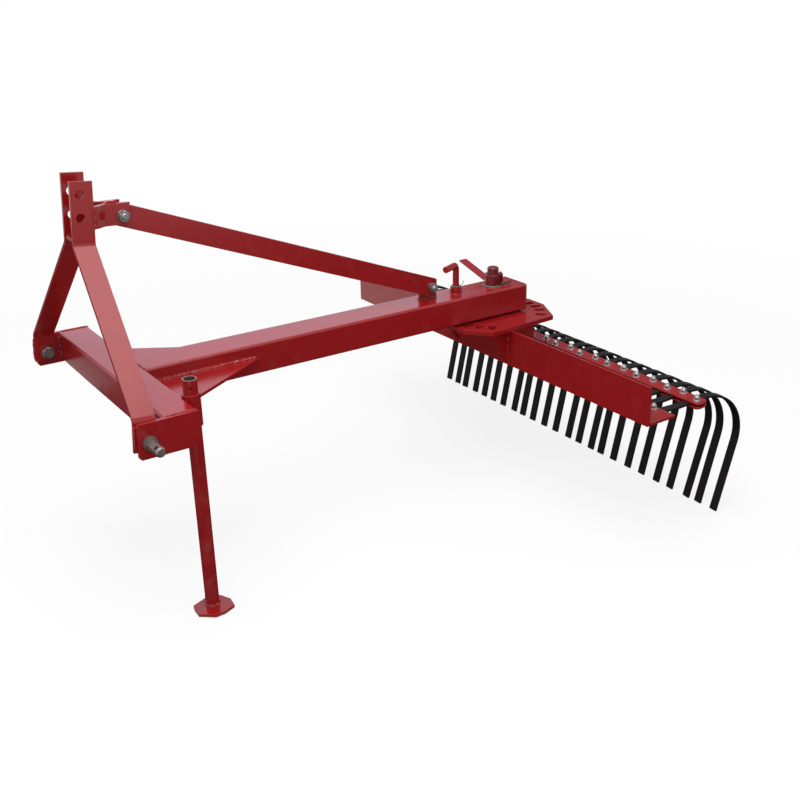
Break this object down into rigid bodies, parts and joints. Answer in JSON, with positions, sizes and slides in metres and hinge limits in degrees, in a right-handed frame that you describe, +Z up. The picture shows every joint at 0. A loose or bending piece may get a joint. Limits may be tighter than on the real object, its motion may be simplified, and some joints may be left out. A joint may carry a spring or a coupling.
{
  "type": "landscape rake",
  "caption": "Three-point hitch landscape rake: bent-strap mast, boom, turning plate and angle beam with curved spring tines, parked on a sliding stand.",
  "frame": {"origin": "on the floor, under the middle of the machine's bounding box as it stands parked", "axes": "+Z up from the floor; -Y towards the tractor, +Y towards the tines; +X towards the parking stand, along the beam"},
  "size_m": [1.318, 1.5544, 0.9788],
  "materials": {
    "red_enamel": "gloss red enamel over welded steel",
    "tine_black": "satin black enamel on spring steel",
    "zinc_plate": "bright zinc plate",
    "pin_steel": "dull machined steel with brown tarnish"
  },
  "bodies": {
    "frame": {"boom": "red_enamel", "boom_cap": "red_enamel", "boom_lug": "red_enamel", "brace": "red_enamel", "brace_bolt_lower": "zinc_plate", "brace_bolt_upper": "zinc_plate", "brace_ear_left": "red_enamel", "brace_ear_right": "red_enamel", "clamp_lever": "red_enamel", "crossbar": "red_enamel", "end_plate_left": "red_enamel", "end_plate_right": "red_enamel", "gusset_left": "red_enamel", "gusset_right": "red_enamel", "hitch_nut_left": "pin_steel", "hitch_nut_right": "pin_steel", "hitch_pin_left": "pin_steel", "hitch_pin_right": "pin_steel", "index_boss": "red_enamel", "index_pin": "red_enamel", "mast_spacer": "red_enamel", "mast_strap_left": "red_enamel", "mast_strap_right": "red_enamel", "pivot_nut": "red_enamel", "pivot_spacer": "red_enamel", "pivot_stud": "red_enamel", "pivot_washer": "zinc_plate", "stand_sleeve": "red_enamel"},
    "rake_head": {"clamp_bar_lower": "red_enamel", "clamp_bar_upper": "red_enamel", "front_web_left": "red_enamel", "front_web_right": "red_enamel", "rake_beam": "red_enamel", "rear_web_left": "red_enamel", "rear_web_right": "red_enamel", "tines_1": "tine_black", "tines_2": "tine_black", "tines_3": "tine_black", "tines_4": "tine_black", "tines_5": "tine_black", "tines_6": "tine_black", "turning_plate": "red_enamel"},
    "stand": {"stand_leg": "red_enamel", "stand_foot": "red_enamel"}
  },
  "joints": [
    {"name": "head_swing", "type": "hinge", "parent": "frame", "child": "rake_head", "pos_m": [0, 0.42185, 0.47053], "axis": [0, -0.0162, 0.9999], "continuous": true},
    {"name": "stand_slide", "type": "slide", "parent": "frame", "child": "stand", "axis": [0, -0.0162, 0.9999], "range_m": [0, 0.35]}
  ]
}
